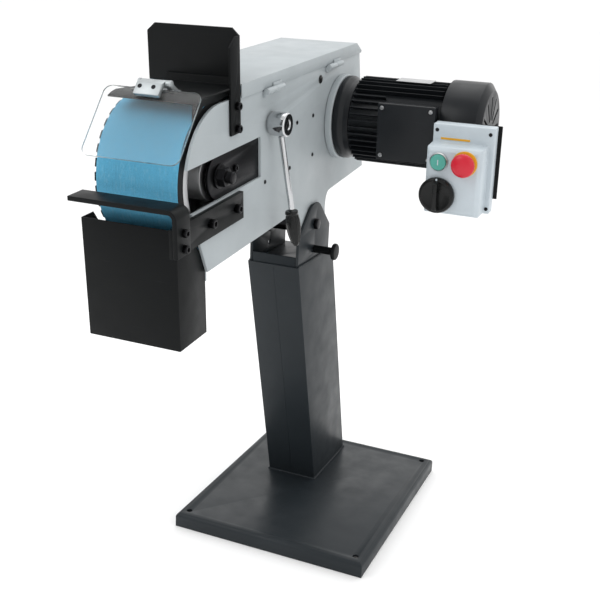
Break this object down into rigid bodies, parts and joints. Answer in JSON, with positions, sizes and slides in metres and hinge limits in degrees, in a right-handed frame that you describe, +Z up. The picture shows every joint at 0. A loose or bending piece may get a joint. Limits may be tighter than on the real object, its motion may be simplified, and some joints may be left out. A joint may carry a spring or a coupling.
{
  "type": "pedestal belt grinder",
  "caption": "Tilting belt grinder head with a rubber contact wheel, side motor and control box, tool rest, visor and spark bin, carried in a fork on a leaning pedestal column.",
  "frame": {"origin": "centre of the base plate's underside, on the floor", "axes": "+Z up; -Y the contact-wheel side where the operator stands; +X the motor side, the operator's right"},
  "size_m": [0.571, 0.9029, 1.0627],
  "materials": {
    "stand_paint": "satin",
    "housing_paint": "satin",
    "black_paint": "satin",
    "black_steel": "satin",
    "steel": "machined",
    "chrome": "polished",
    "aluminium": "machined",
    "tyre_rubber": "matte",
    "abrasive": "gritty",
    "motor_paint": "satin",
    "clear_plastic": "clear",
    "zinc": "cast, plated",
    "grey_plastic": "satin",
    "black_plastic": "semi-gloss",
    "green_plastic": "semi-gloss",
    "red_plastic": "semi-gloss",
    "yellow_plastic": "satin"
  },
  "bodies": {
    "stand": {"base_plate": "stand_paint", "base_crossbar": "stand_paint", "column": "stand_paint", "fork_ear_right": "stand_paint", "fork_ear_left": "stand_paint", "pivot_bolt": "black_steel"},
    "lock": {"tilt_lock_screw": "black_paint"},
    "head": {"side_panel": "housing_paint", "housing_floor": "housing_paint", "rear_wall": "housing_paint", "dust_port": "black_plastic", "pivot_tube": "black_steel", "abrasive_belt": "abrasive", "tension_spring": "steel", "cover_hinge_leaf_front": "housing_paint", "cover_hinge_leaf_rear": "housing_paint", "guard_plate": "black_paint", "guard_bolt_upper": "black_steel", "guard_bolt_lower": "black_steel", "spark_deflector": "black_paint", "visor_bracket": "zinc", "rest_bolt_front": "black_steel", "rest_bolt_rear": "black_steel", "motor_ring": "housing_paint", "motor_flange": "motor_paint", "motor_body": "motor_paint", "terminal_box": "motor_paint", "fan_cowl": "motor_paint", "control_box": "grey_plastic", "control_back_plate": "black_paint", "control_bracket": "black_paint", "stop_collar": "yellow_plastic"},
    "carriage": {"tension_carriage": "black_steel", "wheel_axle": "black_steel", "axle_nut": "black_steel"},
    "contact_wheel": {"contact_wheel_hub": "aluminium", "contact_wheel_tyre": "tyre_rubber", "wheel_bearing_left": "steel", "wheel_bearing_right": "steel"},
    "drive": {"drive_wheel": "aluminium", "motor_shaft": "steel", "motor_fan": "black_plastic"},
    "lever": {"tension_lever_hub": "chrome", "tension_lever_rod": "chrome", "tension_lever_grip": "black_plastic"},
    "cover": {"belt_cover": "housing_paint", "cover_knuckle_front": "housing_paint", "cover_knuckle_rear": "housing_paint"},
    "visor": {"visor_pane": "clear_plastic", "visor_clamp": "zinc"},
    "rest": {"rest_plate": "black_paint", "rest_bar": "black_paint", "rest_leg_bolt_upper": "black_steel", "rest_leg_bolt_lower": "black_steel"},
    "bin": {"spark_bin": "black_paint"},
    "start": {"start_button": "green_plastic"},
    "estop": {"emergency_stop": "red_plastic"},
    "selector": {"selector_knob": "black_plastic"}
  },
  "joints": [
    {"name": "head_tilt", "type": "hinge", "parent": "stand", "child": "head", "pos_m": [0, -0.038, 0.659], "axis": [1, 0, 0], "range_deg": [-60, 0]},
    {"name": "tilt_lock_turn", "type": "hinge", "parent": "stand", "child": "lock", "pos_m": [0, -0.038, 0.605], "axis": [1, 0, 0], "range_deg": [0, 180]},
    {"name": "tension_lever_turn", "type": "hinge", "parent": "head", "child": "lever", "pos_m": [0, -0.26367, 0.89247], "axis": [1, 0, 0], "range_deg": [0, 90]},
    {"name": "carriage_slide", "type": "slide", "parent": "head", "child": "carriage", "axis": [0, 0.9967, 0.0811], "range_m": [0, 0.009], "deforming": ["tension_spring"]},
    {"name": "contact_wheel_spin", "type": "hinge", "parent": "carriage", "child": "contact_wheel", "pos_m": [-0.1, -0.44676, 0.82441], "axis": [1, 0, 0], "continuous": true},
    {"name": "drive_spin", "type": "hinge", "parent": "head", "child": "drive", "pos_m": [0, 0.08648, 0.86778], "axis": [1, 0, 0], "continuous": true},
    {"name": "cover_swing", "type": "hinge", "parent": "head", "child": "cover", "pos_m": [-0.0084, -0.26471, 0.95459], "axis": [0, 0.9967, 0.0811], "range_deg": [0, 100]},
    {"name": "visor_swing", "type": "hinge", "parent": "head", "child": "visor", "pos_m": [0, -0.52316, 0.97703], "axis": [1, 0, 0], "range_deg": [-95, 0]},
    {"name": "rest_slide", "type": "slide", "parent": "head", "child": "rest", "axis": [0, -0.9967, -0.0811], "range_m": [-0.006, 0.012]},
    {"name": "bin_pull", "type": "slide", "parent": "head", "child": "bin", "axis": [0, -0.9967, -0.0811], "range_m": [0, 0.1]},
    {"name": "start_press", "type": "slide", "parent": "head", "child": "start", "axis": [0, 0.9967, 0.0811], "range_m": [0, 0.003], "stiffness_N_per_m": 600},
    {"name": "stop_press", "type": "slide", "parent": "head", "child": "estop", "axis": [0, 0.9967, 0.0811], "range_m": [0, 0.006], "stiffness_N_per_m": 900},
    {"name": "selector_turn", "type": "hinge", "parent": "head", "child": "selector", "pos_m": [0.257, -0.08662, 0.7634], "axis": [0, 0.9967, 0.0811], "range_deg": [-60, 60]}
  ],
  "couplings": [
    {"joint": "carriage_slide", "follows": "tension_lever_turn", "m_per_rad": 0.00573},
    {"joint": "drive_spin", "follows": "contact_wheel_spin", "ratio": 1.1364}
  ]
}
